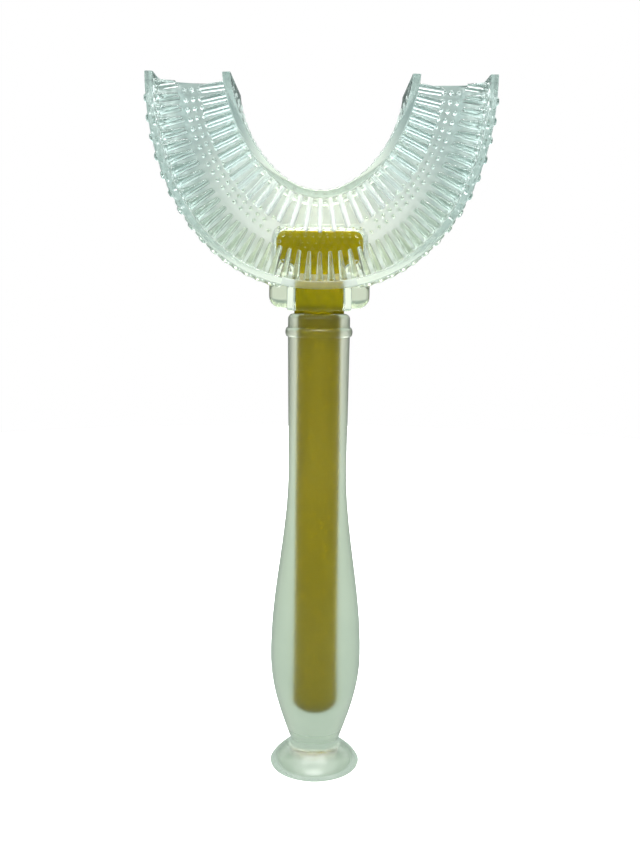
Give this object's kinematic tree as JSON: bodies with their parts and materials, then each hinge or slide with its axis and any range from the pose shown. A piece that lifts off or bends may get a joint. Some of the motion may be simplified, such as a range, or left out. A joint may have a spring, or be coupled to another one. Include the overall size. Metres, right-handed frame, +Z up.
{
  "type": "u-shaped toothbrush",
  "caption": "Clear silicone arch with bristled tooth channels on both faces, pushed onto a yellow-cored soft grip that stands on a suction foot.",
  "frame": {"origin": "centre of the suction foot's rim, on the surface that the brush stands on", "axes": "+Z up along the handle to the open tips of the arch, +X across the arch, -Y the way the upper tooth channel faces"},
  "size_m": [0.0614, 0.022, 0.13],
  "materials": {
    "clear_silicone": "clear moulded silicone, glossy, faintly grey-green",
    "frosted_silicone": "frosted translucent silicone, satin",
    "yellow_plastic": "moulded, semi-gloss"
  },
  "bodies": {
    "handle": {"handle_core": "yellow_plastic", "grip_sleeve": "frosted_silicone", "suction_foot": "frosted_silicone"},
    "brush_head": {"socket_collar": "clear_silicone", "outer_wall": "clear_silicone", "inner_wall": "clear_silicone", "channel_floor": "clear_silicone", "upper_outer_bristles_left_molars": "clear_silicone", "upper_outer_bristles_left_canine": "clear_silicone", "upper_outer_bristles_incisors": "clear_silicone", "upper_outer_bristles_right_canine": "clear_silicone", "upper_outer_bristles_right_molars": "clear_silicone", "upper_inner_bristles_left_molars": "clear_silicone", "upper_inner_bristles_left_canine": "clear_silicone", "upper_inner_bristles_incisors": "clear_silicone", "upper_inner_bristles_right_canine": "clear_silicone", "upper_inner_bristles_right_molars": "clear_silicone", "upper_floor_nubs_left": "clear_silicone", "upper_floor_nubs_front": "clear_silicone", "upper_floor_nubs_right": "clear_silicone", "lower_outer_bristles_left_molars": "clear_silicone", "lower_outer_bristles_left_canine": "clear_silicone", "lower_outer_bristles_incisors": "clear_silicone", "lower_outer_bristles_right_canine": "clear_silicone", "lower_outer_bristles_right_molars": "clear_silicone", "lower_inner_bristles_left_molars": "clear_silicone", "lower_inner_bristles_left_canine": "clear_silicone", "lower_inner_bristles_incisors": "clear_silicone", "lower_inner_bristles_right_canine": "clear_silicone", "lower_inner_bristles_right_molars": "clear_silicone", "lower_floor_nubs_left": "clear_silicone", "lower_floor_nubs_front": "clear_silicone", "lower_floor_nubs_right": "clear_silicone"}
  },
  "joints": [
    {"name": "head_pull_off", "type": "slide", "parent": "handle", "child": "brush_head", "axis": [0, 0, 1], "range_m": [0, 0.018], "deforming": ["socket_collar"]}
  ]
}
